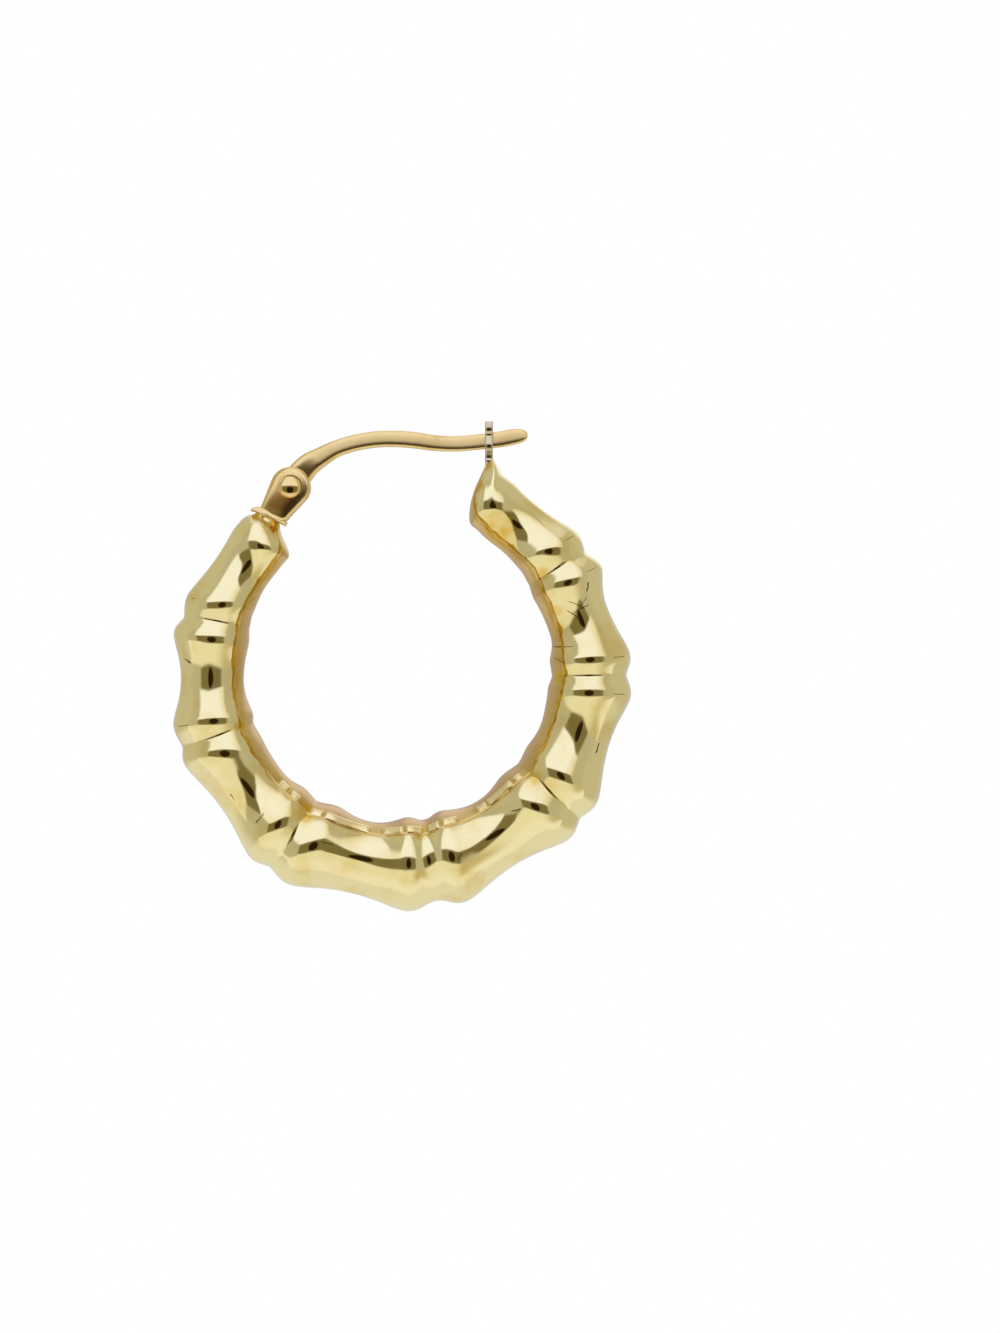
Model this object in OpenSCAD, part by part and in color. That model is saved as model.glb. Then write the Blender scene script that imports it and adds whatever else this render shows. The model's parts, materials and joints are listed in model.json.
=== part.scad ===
// Hollow bamboo hoop earring with a hinged ear wire, lying on its side. Millimetres.
// Z is up from the surface, and the ear wire side of the hoop is toward +Y.

/* [Hoop] */
// Turn of the thickest knuckle about the hoop's middle, in degrees from +X
hoop_turn = 279.3; // [260:0.1:300]
// Thickness of the sheet gold
wall = 0.2; // [0.15:0.01:0.4]
// How far the tube's crest lies outward of its middle, as a share of its width
crest_shift = 0.045; // [0:0.005:0.1]
// Angle of the seam round the tube, in degrees from the outer edge
seam_angle = 133; // [115:1:150]
// Depth of the groove at the seam
seam_depth = 0.06; // [0.02:0.01:0.1]
// Half the width of the groove at the seam, in degrees round the tube
seam_half = 2; // [1:0.5:4]
// Tilt of the hoop as it rests on its knuckles, in degrees
rest_tilt = 2.6; // [0:0.1:5]

/* [Hinge] */
// Middle of the rivet from the hoop's middle, along X
hinge_x = -6; // [-8:0.01:-4]
// Middle of the rivet from the hoop's middle, along Y
hinge_y = 10.71; // [9:0.01:12]
// Turn of the bracket's base plate, in degrees from +X
base_turn = -25.2; // [-40:0.1:0]
// Radius of the round end of an ear
ear_radius = 1.1; // [0.8:0.05:1.5]
// Thickness of an ear
ear_thickness = 0.33; // [0.2:0.01:0.5]
// Gap between the ears
ear_gap = 0.78; // [0.5:0.01:1.2]
// Thickness of the base plate
base_thickness = 0.3; // [0.2:0.01:0.5]
// Radius of the rivet's shaft
pin_radius = 0.3; // [0.2:0.01:0.5]
// Radius of a rivet head
head_radius = 0.6; // [0.4:0.01:0.9]
// Height of a rivet head
head_height = 0.27; // [0.15:0.01:0.4]
// Gap all round the rivet in the ears
pin_gap = 0.01; // [0.01:0.01:0.05]
// Gap all round the rivet in the ear wire's eye
eye_bore_gap = 0.03; // [0.02:0.01:0.08]

/* [Ear wire] */
// Radius of the eye
eye_radius = 0.82; // [0.6:0.01:1]
// Thickness of the eye
eye_thickness = 0.72; // [0.4:0.01:1]

/* [Catch] */
// Middle of the catch along X
catch_x = 4.89; // [4:0.01:6]
// Width of the strip
catch_width = 0.43; // [0.3:0.01:0.6]
// Thickness of the strip
strip = 0.14; // [0.1:0.01:0.2]
// Height of the prongs' tips above the hoop's middle
catch_top = 14.29; // [13.5:0.01:15]

/* [Hidden] */
$fn = 64;

// Kinds of station along the tube
WAIST = 0;
GROOVE = 1;
RIDGE = 2;

// Columns of the stations: degrees round the hoop from the thickest knuckle, radius of the outer
// edge, radius of the inner edge, half the tube's depth, degrees that the inner edge lies further
// round, and the kind
TURN = 0;
OUTER = 1;
INNER = 2;
DEPTH = 3;
LEAN = 4;
KIND = 5;
stations = [
    [0, 12.20, 7.67, 2.36, 0, GROOVE],
    [6.5, 12.63, 7.41, 2.57, 0, RIDGE],
    [23, 11.90, 7.81, 2.04, 0, WAIST],
    [38.7, 12.71, 7.60, 2.52, 0, RIDGE],
    [43.9, 12.42, 7.94, 2.24, 0, GROOVE],
    [49, 12.71, 7.78, 2.45, 0, RIDGE],
    [64, 12.01, 8.11, 1.94, 0, WAIST],
    [78.2, 12.69, 8.09, 2.24, 0, RIDGE],
    [82.8, 12.44, 8.35, 1.98, 0, GROOVE],
    [87.6, 12.73, 8.26, 2.15, 0, RIDGE],
    [101, 12.08, 8.63, 1.66, 0, WAIST],
    [111.2, 12.75, 8.59, 1.98, 0, RIDGE],
    [116, 12.42, 8.88, 1.68, 1.2, GROOVE],
    [120.8, 12.72, 8.90, 1.88, 2.4, RIDGE],
    [133.5, 12.22, 9.10, 1.32, 2.8, WAIST],
    [144.6, 12.56, 9.18, 1.44, 3.2, RIDGE],
];

// Columns of the end caps: outer edge along X and Y, inner edge along X and Y, half the depth
hinge_cap = [
    [-8.60, 9.00, -6.12, 7.24, 1.34],
    [-8.44, 9.12, -6.29, 7.62, 1.14],
    [-8.22, 9.20, -6.46, 7.94, 0.92],
    [-7.98, 9.20, -6.54, 8.20, 0.72],
    [-7.92, 9.26, -6.60, 8.36, 0.62],
    [-7.80, 9.42, -6.62, 8.74, 0.60],
];
catch_cap = [
    [5.60, 11.48, 3.78, 9.20, 1.36],
    [5.49, 11.66, 3.87, 9.85, 1.16],
    [5.37, 11.86, 4.05, 10.50, 0.89],
    [5.25, 12.07, 4.33, 11.12, 0.60],
    [5.14, 12.26, 4.64, 11.80, 0.36],
];

// Columns of the ear wire: middle along X and Y, width across the hoop's plane, thickness along Z
wire_rows = [
    [-5.75, 11.10, 1.50, 0.72],
    [-5.03, 11.90, 1.30, 0.70],
    [-4.29, 12.38, 1.07, 0.64],
    [-3.52, 12.80, 0.93, 0.56],
    [-2.50, 13.13, 0.90, 0.49],
    [-1.26, 13.33, 0.90, 0.46],
    [-0.11, 13.35, 0.90, 0.45],
    [0.88, 13.27, 0.90, 0.45],
    [1.87, 13.13, 0.87, 0.44],
    [2.86, 13.08, 0.85, 0.43],
    [3.68, 13.12, 0.85, 0.41],
    [4.60, 13.22, 0.86, 0.40],
    [5.49, 13.33, 0.88, 0.40],
    [6.15, 13.45, 0.88, 0.40],
    [6.59, 13.52, 0.78, 0.38],
    [6.86, 13.55, 0.56, 0.32],
    [7.00, 13.56, 0.22, 0.18],
];

// Columns of one prong's middle line: height above the hoop's middle and distance from the mid plane
prong_rows = [
    [11.75, 0.00],
    [12.05, 0.14],
    [12.32, 0.27],
    [12.65, 0.31],
    [13.20, 0.34],
    [13.62, 0.31],
    [13.90, 0.30],
    [14.15, 0.33],
    [catch_top, 0.36],
];

groove_steps = 3;
waist_steps = 5;
hoop_sides = 24;
cavity_sides = 12;
cavity_end = 140;
wire_steps = 3;
wire_sides = 14;
wire_squareness = 0.62;
ear_outer = ear_gap / 2 + ear_thickness;

function polar(r, a) = [r * cos(a), r * sin(a)];
function mix(a, b, t) = a + (b - a) * t;
function power(v, p) = sign(v) * pow(abs(v), p);

// Share of the way from one station to the next: waists are level, ridges stand up steeply from
// them, and grooves are cut between ridges
function share(from, to, t) =
    from == WAIST ? pow(t, 2) : to == WAIST ? 1 - pow(1 - t, 2) : (1 - cos(180 * t)) / 2;
function steps(from, to) = from == WAIST || to == WAIST ? waist_steps : groove_steps;

half_rows = [
    for (i = [0:len(stations) - 2])
        let (a = stations[i], b = stations[i + 1], n = steps(a[KIND], b[KIND]))
            for (k = [i == 0 ? 0 : 1:n])
                let (t = k / n, s = share(a[KIND], b[KIND], t))
                    [
                        mix(a[TURN], b[TURN], t),
                        mix(a[OUTER], b[OUTER], s),
                        mix(a[INNER], b[INNER], s),
                        mix(a[DEPTH], b[DEPTH], s),
                        mix(a[LEAN], b[LEAN], t),
                    ]
];
function mirrored(r) = [-r[TURN], r[OUTER], r[INNER], r[DEPTH], -r[LEAN]];
turn_rows = concat([for (i = [len(half_rows) - 1:-1:1]) mirrored(half_rows[i])], half_rows);
function edges(r) = concat(
    polar(r[OUTER], hoop_turn + r[TURN]),
    polar(r[INNER], hoop_turn + r[TURN] + r[LEAN]),
    [r[DEPTH]]
);
tube_rows = [for (r = turn_rows) edges(r)];
shell_rows = concat([for (i = [len(hinge_cap) - 1:-1:0]) hinge_cap[i]], tube_rows, catch_cap);

// A row's edges moved inward by the wall
function inset(r) =
    let (o = [r[0], r[1]], i = [r[2], r[3]], along = (o - i) / norm(o - i) * wall)
        [r[0] - along[0], r[1] - along[1], r[2] + along[0], r[3] + along[1], r[4] - wall];
cavity_rows = [for (r = turn_rows) if (abs(r[TURN]) < cavity_end) inset(edges(r))];

// Angles round the tube, with the groove's three lines at each seam
seam_lines = [seam_angle - seam_half, seam_angle, seam_angle + seam_half];
plain_angles = [for (k = [0:hoop_sides / 2]) k * 360 / hoop_sides];
half_angles = concat(
    [for (a = plain_angles) if (a < seam_lines[0] - seam_half) a],
    seam_lines,
    [for (a = plain_angles) if (a > seam_lines[2] + seam_half) a]
);
hoop_angles = concat(
    half_angles,
    [for (i = [len(half_angles) - 2:-1:1]) 360 - half_angles[i]]
);
cavity_angles = [for (k = [0:cavity_sides - 1]) k * 360 / cavity_sides];

// A point of the tube: the crest shifted outward, the two halves each a quarter ellipse
function tube_point(r, a, depth_in) =
    let (
        crest = 0.5 + crest_shift,
        f = crest + (cos(a) > 0 ? 1 - crest : crest) * cos(a),
        o = [r[0], r[1]],
        i = [r[2], r[3]],
        cut = 1 - depth_in / r[4],
        m = mix(i, o, crest),
        p = mix(m, mix(i, o, f), cut)
    )
        [p[0], p[1], r[4] * sin(a) * cut];
function in_groove(a) = abs(abs(180 - a) - (180 - seam_angle)) < 0.001;
function ring(r, angles) = [for (a = angles) tube_point(r, a, in_groove(a) ? seam_depth : 0)];

// A closed tube through a list of rings
function mean(r) = [for (p = r) 1 / len(r)] * r;
module tube(rings) {
    n = len(rings[0]);
    last = len(rings) - 1;
    points = concat([for (r = rings) each r], [mean(rings[0]), mean(rings[last])]);
    sides = [
        for (j = [0:last - 1])
            for (i = [0:n - 1])
                let (a = j * n + i, b = j * n + (i + 1) % n)
                    each [[a, b, b + n], [a, b + n, a + n]]
    ];
    start = [for (i = [0:n - 1]) [(last + 1) * n, (i + 1) % n, i]];
    end = [for (i = [0:n - 1]) [(last + 1) * n + 1, last * n + i, last * n + (i + 1) % n]];
    polyhedron(points, concat(sides, start, end));
}

shell_rings = [for (r = shell_rows) ring(r, hoop_angles)];

// Where the hoop's middle comes so that the earring rests on Z = 0 with its box over the origin
flat_points = concat(
    [for (r = shell_rings) each r],
    [[catch_x, catch_top, 0.36 + strip / 2], [catch_x, catch_top, -0.36 - strip / 2]]
);
side_turn = hoop_turn - 270;
function turned(p, a) = [p[0] * cos(a) - p[1] * sin(a), p[0] * sin(a) + p[1] * cos(a), p[2]];
function leant(p, a) = [p[0], p[1] * cos(a) + p[2] * sin(a), p[2] * cos(a) - p[1] * sin(a)];
tilted = [for (p = flat_points) turned(leant(turned(p, -side_turn), rest_tilt), side_turn)];
function low(c) = min([for (p = tilted) p[c]]);
function high(c) = max([for (p = tilted) p[c]]);
middle_at = [-(low(0) + high(0)) / 2, -(low(1) + high(1)) / 2, -low(2)];

module lie() {
    translate(middle_at)
        rotate([0, 0, side_turn])
            rotate([-rest_tilt, 0, 0])
                rotate([0, 0, -side_turn])
                    children();
}

module at_hinge() {
    translate([hinge_x, hinge_y, 0])
        children();
}

// Base plate in the bracket's own turn, from the rivet: its middle, length and top
base_length = 2.15;
base_middle = -0.35;
base_top = 1.80;
ear_foot = [-1.05, 0.68];

// Point where a line from a foot corner touches the round end of the ear
function touch(c, side) =
    let (d = norm(c), a = atan2(c[1], c[0]) + side * acos(ear_radius / d))
        polar(ear_radius, a);

module ear() {
    left = [ear_foot[0], -base_top - base_thickness / 2];
    right = [ear_foot[1], -base_top - base_thickness / 2];
    linear_extrude(ear_thickness)
        difference() {
            union() {
                circle(ear_radius);
                polygon([[0, 0], touch(left, -1), left, right, touch(right, 1)]);
            }
            circle(pin_radius + pin_gap);
        }
}

module hinge_bracket() {
    at_hinge()
        rotate([0, 0, base_turn]) {
            translate([0, 0, ear_gap / 2])
                ear();
            translate([0, 0, -ear_outer])
                ear();
            translate([base_middle - base_length / 2, -base_top - base_thickness, -ear_outer])
                cube([base_length, base_thickness, 2 * ear_outer]);
        }
}

// One prong as a strip of even thickness along its middle line
function prong_side(side) = [
    for (i = [0:len(prong_rows) - 1])
        let (
            a = prong_rows[max(i - 1, 0)],
            b = prong_rows[min(i + 1, len(prong_rows) - 1)],
            d = (b - a) / norm(b - a)
        )
            [prong_rows[i][0] - side * d[1] * strip / 2, prong_rows[i][1] + side * d[0] * strip / 2]
];

module prong() {
    inner = prong_side(-1);
    outer = prong_side(1);
    polygon(concat(outer, [for (i = [len(inner) - 1:-1:0]) inner[i]]));
}

module catch() {
    translate([catch_x - catch_width / 2, 0, 0])
        rotate([90, 0, 90])
            linear_extrude(catch_width) {
                prong();
                mirror([0, 1])
                    prong();
            }
}

module hoop() {
    color("Gold")
        lie() {
            difference() {
                tube(shell_rings);
                tube([for (r = cavity_rows) ring(r, cavity_angles)]);
            }
            hinge_bracket();
            catch();
        }
}

// Smooth value between rows i and i + 1 of the ear wire
function smooth(rows, i, t) =
    let (
        n = len(rows) - 1,
        a = rows[max(i - 1, 0)],
        b = rows[i],
        c = rows[min(i + 1, n)],
        d = rows[min(i + 2, n)]
    )
        b + (c - a) * t / 2 + (2 * a - 5 * b + 4 * c - d) * t * t / 2
            + (3 * b - a - 3 * c + d) * pow(t, 3) / 2;
wire_path = concat(
    [for (i = [0:len(wire_rows) - 2]) for (k = [0:wire_steps - 1]) smooth(wire_rows, i, k / wire_steps)],
    [wire_rows[len(wire_rows) - 1]]
);

function wire_ring(i) =
    let (
        n = len(wire_path) - 1,
        p = wire_path[i],
        d = wire_path[min(i + 1, n)] - wire_path[max(i - 1, 0)],
        l = norm([d[0], d[1]]),
        across = [d[1], -d[0]] / l
    )
        [
            for (k = [0:wire_sides - 1])
                let (
                    a = k * 360 / wire_sides,
                    u = power(cos(a), wire_squareness) * p[2] / 2,
                    v = power(sin(a), wire_squareness) * p[3] / 2
                )
                    [p[0] + across[0] * u, p[1] + across[1] * u, v]
        ];

module ear_wire() {
    color("Goldenrod")
        lie()
            difference() {
                union() {
                    tube([for (i = [0:len(wire_path) - 1]) wire_ring(i)]);
                    at_hinge()
                        cylinder(h = eye_thickness, r = eye_radius, center = true);
                }
                at_hinge()
                    cylinder(h = 2, r = pin_radius + eye_bore_gap, center = true);
            }
}

module rivet() {
    dome = (pow(head_radius, 2) + pow(head_height, 2)) / (2 * head_height);
    seat = ear_outer + pin_gap;
    color("Goldenrod")
        lie()
            at_hinge() {
                cylinder(h = 2 * seat, r = pin_radius, center = true);
                for (side = [0, 180])
                    rotate([side, 0, 0])
                        intersection() {
                            translate([0, 0, seat + head_height - dome])
                                sphere(dome);
                            translate([0, 0, seat])
                                cylinder(h = 1, r = head_radius);
                        }
            }
}

hoop();
ear_wire();
rivet();
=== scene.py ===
"""Bamboo hoop earring of hollow gold with a hinged ear wire, lying on its side in soft studio light.

Shapes are worked out in the hoop's own plane, in millimetres: X from the hinge toward the catch, Y toward
the ear wire, Z out of the hoop's face. row_frame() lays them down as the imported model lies.
"""
import json
from types import SimpleNamespace

import bpy
import numpy as np
from mathutils import Matrix
from bpy.props import FloatProperty, FloatVectorProperty, IntProperty, PointerProperty


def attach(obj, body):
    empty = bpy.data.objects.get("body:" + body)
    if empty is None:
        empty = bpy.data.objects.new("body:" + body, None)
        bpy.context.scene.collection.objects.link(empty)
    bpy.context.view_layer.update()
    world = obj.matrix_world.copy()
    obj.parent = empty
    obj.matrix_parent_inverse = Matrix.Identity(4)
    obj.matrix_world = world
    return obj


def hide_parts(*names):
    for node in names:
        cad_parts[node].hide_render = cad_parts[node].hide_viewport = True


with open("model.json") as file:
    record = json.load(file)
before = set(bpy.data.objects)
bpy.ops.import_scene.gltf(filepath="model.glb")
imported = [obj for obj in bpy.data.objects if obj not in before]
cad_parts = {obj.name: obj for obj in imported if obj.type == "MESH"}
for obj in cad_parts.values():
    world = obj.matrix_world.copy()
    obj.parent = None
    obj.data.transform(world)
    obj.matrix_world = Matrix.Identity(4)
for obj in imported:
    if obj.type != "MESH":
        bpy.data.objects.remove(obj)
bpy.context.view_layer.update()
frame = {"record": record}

bl_info = {
    "name": "Bamboo Hoop Earring",
    "version": (1, 0, 0),
    "blender": (4, 5, 0),
    "location": "View3D > Sidebar > Earring",
    "description": "Builds a hollow bamboo hoop earring with its hinge, ear wire, catch and studio",
    "category": "Add Mesh",
}

MM = 0.001
HINGE = frame["record"]["behaviour"]["joints"][0]

# Kinds of station along the tube; a rounded one is a ridge or groove with a softer top or bottom
WAIST, GROOVE, RIDGE, ROUNDED = 0, 1, 2, 3

# Stations along the tube, from the hinge end to the catch end: points on the outer edge, the crest and the
# inner edge, by degrees round the hoop from the thickest knuckle and radius, and the crest's height:
# outer degrees, outer radius, crest degrees, crest radius, height, inner degrees, inner radius, kind
STATIONS = np.array([
    (-144.7, 12.45, -143.8, 10.66, 1.52, -148.1, 9.16, ROUNDED),
    (-133.5, 12.18, -137.4, 10.56, 1.30, -138.0, 9.06, WAIST),
    (-121.0, 12.62, -122.8, 10.63, 1.88, -124.6, 8.91, RIDGE),
    (-116.0, 12.40, -117.8, 10.58, 1.66, -119.8, 8.80, GROOVE),
    (-112.0, 12.72, -112.0, 10.63, 1.98, -112.2, 8.56, RIDGE),
    (-100.0, 12.04, -100.4, 10.40, 1.63, -101.0, 8.59, WAIST),
    (-88.0, 12.69, -87.5, 10.46, 2.15, -86.9, 8.27, RIDGE),
    (-82.7, 12.47, -83.0, 10.30, 1.97, -83.8, 8.36, GROOVE),
    (-79.0, 12.68, -77.2, 10.40, 2.25, -74.8, 8.17, RIDGE),
    (-64.0, 12.02, -63.2, 10.18, 1.88, -62.4, 8.12, WAIST),
    (-49.0, 12.69, -49.8, 10.32, 2.47, -51.0, 7.84, RIDGE),
    (-44.5, 12.44, -44.2, 10.18, 2.17, -44.4, 7.98, GROOVE),
    (-39.0, 12.71, -37.2, 10.22, 2.54, -35.0, 7.63, RIDGE),
    (-22.5, 11.91, -20.2, 9.89, 2.02, -21.5, 7.84, WAIST),
    (-7.0, 12.61, -6.4, 9.97, 2.57, -6.2, 7.44, RIDGE),
    (0.3, 12.20, 0.2, 9.92, 2.22, 0.6, 7.67, ROUNDED),
    (7.0, 12.61, 7.3, 10.0, 2.57, 7.8, 7.42, RIDGE),
    (23.0, 11.88, 23.7, 9.87, 1.97, 24.6, 7.80, WAIST),
    (38.6, 12.70, 38.0, 10.10, 2.53, 37.0, 7.59, RIDGE),
    (43.7, 12.43, 44.9, 10.09, 2.17, 46.8, 7.88, GROOVE),
    (48.6, 12.71, 50.5, 10.24, 2.46, 53.0, 7.82, RIDGE),
    (64.0, 12.0, 65.4, 10.21, 1.88, 67.0, 8.09, WAIST),
    (77.6, 12.71, 77.4, 10.40, 2.24, 77.2, 8.12, RIDGE),
    (82.5, 12.45, 82.7, 10.40, 1.97, 83.0, 8.35, GROOVE),
    (87.1, 12.74, 87.6, 10.52, 2.16, 88.2, 8.30, RIDGE),
    (101.0, 12.11, 99.2, 10.55, 1.60, 98.0, 8.64, WAIST),
    (111.0, 12.77, 111.3, 10.73, 2.0, 111.7, 8.64, RIDGE),
    (115.6, 12.44, 116.5, 10.70, 1.67, 118.2, 8.88, GROOVE),
    (120.5, 12.74, 122.2, 10.88, 1.90, 124.4, 9.02, RIDGE),
    (132.5, 12.28, 133.9, 10.79, 1.30, 136.0, 9.13, WAIST),
    (144.2, 12.66, 143.3, 10.92, 1.66, 147.2, 9.44, ROUNDED),
])

# Rings of the end caps: outer edge X and Y, crest X and Y, inner edge X and Y, half the depth
HINGE_CAP = np.array([
    (-8.67, 8.95, -7.56, 7.70, -6.06, 7.04, 1.495),
    (-8.60, 9.03, -7.50, 7.97, -6.11, 7.20, 1.41),
    (-8.44, 9.12, -7.42, 8.36, -6.27, 7.58, 1.23),
    (-8.22, 9.20, -7.36, 8.62, -6.46, 7.94, 1.04),
    (-7.98, 9.20, -7.26, 8.74, -6.54, 8.20, 0.66),
    (-7.94, 9.27, -7.27, 8.82, -6.60, 8.36, 0.74),
    (-7.87, 9.36, -7.24, 8.96, -6.61, 8.56, 0.74),
    (-7.80, 9.42, -7.21, 9.08, -6.62, 8.74, 0.62),
])
CATCH_CAP = np.array([
    (5.62, 11.42, 4.87, 9.93, 3.78, 8.92, 1.635),
    (5.60, 11.48, 4.84, 10.16, 3.78, 9.20, 1.59),
    (5.49, 11.66, 4.91, 10.72, 3.87, 9.85, 1.44),
    (5.37, 11.86, 4.93, 11.20, 4.05, 10.50, 1.24),
    (5.25, 12.07, 4.91, 11.62, 4.33, 11.12, 0.97),
    (5.14, 12.26, 4.89, 12.03, 4.64, 11.80, 0.54),
])

# The ear wire's middle line X and Y, its width across the hoop's plane and its thickness
WIRE = np.array([
    (-5.75, 11.10, 1.50, 0.72),
    (-5.03, 11.90, 1.30, 0.70),
    (-4.29, 12.38, 1.07, 0.64),
    (-3.52, 12.80, 0.93, 0.56),
    (-2.50, 13.13, 0.90, 0.49),
    (-1.26, 13.33, 0.90, 0.46),
    (-0.11, 13.35, 0.90, 0.45),
    (0.88, 13.27, 0.90, 0.45),
    (1.87, 13.13, 0.87, 0.44),
    (2.86, 13.08, 0.85, 0.40),
    (3.68, 13.12, 0.85, 0.34),
    (4.60, 13.22, 0.86, 0.31),
    (5.49, 13.33, 0.88, 0.31),
    (6.15, 13.45, 0.88, 0.34),
    (6.59, 13.52, 0.78, 0.33),
    (6.86, 13.55, 0.56, 0.29),
    (7.00, 13.56, 0.22, 0.18),
])

# Beads of solder that stand proud inside the seam: from and to, in degrees round the hoop, and how much of
# the full height each has
BEADS = np.array([
    (-59.4, -55.5, 0.45),
    (-54.0, -50.0, 0.45),
    (-43.7, -39.3, 0.9),
    (-38.1, -21.2, 1.0),
    (-15.9, -8.1, 0.9),
    (-6.6, -0.5, 1.0),
    (1.6, 6.3, 1.0),
    (7.8, 13.5, 0.9),
    (22.1, 26.2, 0.6),
    (27.0, 38.6, 0.8),
    (40.4, 43.6, 0.6),
])

# A catch prong's middle line: height in the hoop's plane and distance from the mid plane
PRONG = np.array([
    (11.75, 0.05),
    (11.92, 0.22),
    (12.09, 0.34),
    (12.33, 0.315),
    (12.66, 0.37),
    (12.97, 0.425),
    (13.26, 0.375),
    (13.56, 0.315),
    (13.84, 0.37),
    (14.10, 0.345),
    (14.29, 0.315),
])

# Corners of a bracket ear's foot, from the rivet in the base plate's turn: X and Y
EAR_FOOT = np.array([
    (-1.05, -1.95),
    (0.68, -1.95),
])

# The bracket's base plate, from the rivet in its own turn: X and how much of its thickness it has there,
# then X and how much of its bend's height
BASE_THIN = np.array([
    (-1.43, 0.7),
    (-1.10, 1.0),
])
BASE_BEND = np.array([
    (-1.43, -0.8),
    (-1.00, 1.0),
    (0.66, 0.0),
])

# A solder bead across the seam: distance in bead widths and height in bead heights
BEAD_PROFILE = np.array([
    (0.02, 0.0),
    (0.55, 1.0),
    (0.80, 0.8),
    (0.95, 0.0),
])

# Tarnish left by the solder torch: middle X and Y, radius, strength
TARNISH = np.array([
    (5.50, 8.45, 1.7, 0.8),
    (4.05, 10.80, 0.9, 1.2),
    (4.70, 11.95, 0.7, 1.2),
    (-8.74, -2.40, 0.5, 0.9),
    (-5.15, -7.10, 0.9, 1.0),
    (7.30, -5.20, 0.8, 0.8),
    (1.10, -8.20, 0.7, 0.9),
    (-7.00, 8.43, 1.0, 0.8),
    (8.60, 0.30, 0.7, 1.0),
    (8.60, 3.90, 0.6, 0.8),
    (7.90, 5.95, 0.6, 0.8),
    (-0.60, -11.60, 0.9, 0.3),
    (4.20, -9.60, 0.9, 0.2),
    (-6.40, -9.90, 0.8, 0.3),
])

# Scratches with dirt in them: middle X and Y, turn in degrees, length, half the width
SCRATCHES = np.array([
    (-11.60, 1.15, -29, 0.6, 0.045),
    (9.68, 4.22, -24, 1.3, 0.034),
    (9.85, 3.95, 28, 1.4, 0.030),
    (9.45, 3.70, -34, 1.0, 0.034),
    (10.05, 4.35, 62, 0.9, 0.030),
    (8.95, 1.92, 3, 1.4, 0.034),
    (8.75, 1.15, -25, 0.9, 0.030),
    (10.85, -3.60, 72, 0.7, 0.060),
    (10.30, 5.20, 80, 0.6, 0.070),
    (6.36, -6.96, 15, 0.7, 0.060),
    (-7.60, -7.40, 48, 0.9, 0.050),
    (-3.90, -8.75, -18, 0.9, 0.045),
    (-9.10, -6.30, -62, 0.6, 0.040),
    (3.30, -9.45, 65, 0.5, 0.045),
    (-10.90, 6.00, 35, 0.6, 0.034),
])

# Rings between two stations next to a waist, and between others; rings of an end cap; and rings past a cap
# over which the softening fades out
WAIST_STEPS, STEPS, CAP_RINGS, SOFT_FADE = 26, 18, 25, 8

# Lines of each ring: even ones outside and inside the seam, how far from the seam they end, and the extra
# ones close to it, both in degrees round the ring
OUTER_LINES, INNER_LINES, SEAM_CLEAR = 29, 21, 6.5
SEAM_LINES = np.array([-5.0, -3.2, -1.9, -1.0, -0.4, 0.0, 0.4, 1.0, 1.9, 3.2, 5.0])

# How many times faster than its half width alone the seam's groove falls off, and the degrees round the
# hoop over which a bead's end rises
GROOVE_FALL, BEAD_END = 1.4, 0.5

# Rings along the ear wire and a catch prong, and lines round small parts and round a prong
WIRE_RINGS, PRONG_RINGS, ROUND_LINES, PRONG_LINES = 160, 60, 64, 32

# Rings of a plate's faces, of its rounded rims and of a rivet's dome; over how much of a face it gets
# browner from the rim inward; and how far a fallen face stays over the lower rim, in millimetres
FACE_RINGS, RIM_RINGS, DOME_RINGS, BROWN_SHARE, RIM_STEP = 24, 7, 18, 0.3, 0.01

# Tarnish and scratches lie on the upper face. The height of their middles and how far down scratches
# reach, in millimetres; how much each direction counts in a spot's distance; and the share of its radius
# that a spot fills
MARK_HEIGHT, MARK_REACH = 1.6, 1.5
SPOT_SHAPE, SPOT_CORE = (1.0, 1.0, 0.3), 0.2

# On the thick part of the hoop the ridges get no dark lines and the seam line is lighter. It begins as Y
# falls from the first to the second, in millimetres
THICK_PART = (-4.0, -6.5)

# How far apart the features of the finishes' patterns lie, in millimetres
STAIN_PATCHES = 2.381
TARNISH_MOTTLE = 0.6667
STRIP_MOTTLE = 1.5385
RIDGE_LINE_BREAKS = 2.0
SEAM_BENDS = 0.7692
SEAM_RAGS = 0.9091
SCRATCH_BENDS = 0.4545
BUFFED_WAVES = 1.1111
# Hairlines of the mop, across, along and down. Real ones are a hundredth of a millimetre apart, too fine
# to show at the photo's scale, so they are drawn coarser
HAIRLINES = (0.1111, 1.4286, 0.4)
HAIRLINE_TURN = (0.3, 0.2, 0.6)

# Height of the buffed waves and the share of it that hairlines have, how far noise shifts the seam's
# colour and the scratches from end to end, half the seam line's least and greatest width, and how near to
# a ridge its dark lines lie, in millimetres
WAVE_HEIGHT, HAIRLINE_SHARE = 0.04, 0.12
SEAM_SHIFT, SCRATCH_SHIFT = 0.4, 0.25
SEAM_LINE = (0.035, 0.15)
RIDGE_LINE_WIDTH = 0.018
# Between these cosines the dark lines at a ridge come and go, 1 at the outer edge
RIDGE_LINE_ENDS = (0.55, 0.62, 0.8, 0.88)

# Roughness, and strength of the buffed waves, on what the mop reached and on the strip inside that it
# didn't
BUFFED_ROUGHNESS, STRIP_ROUGHNESS = 0.09, 0.32
BUFFED_STRENGTH, STRIP_STRENGTH = 0.06, 0.01

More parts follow.
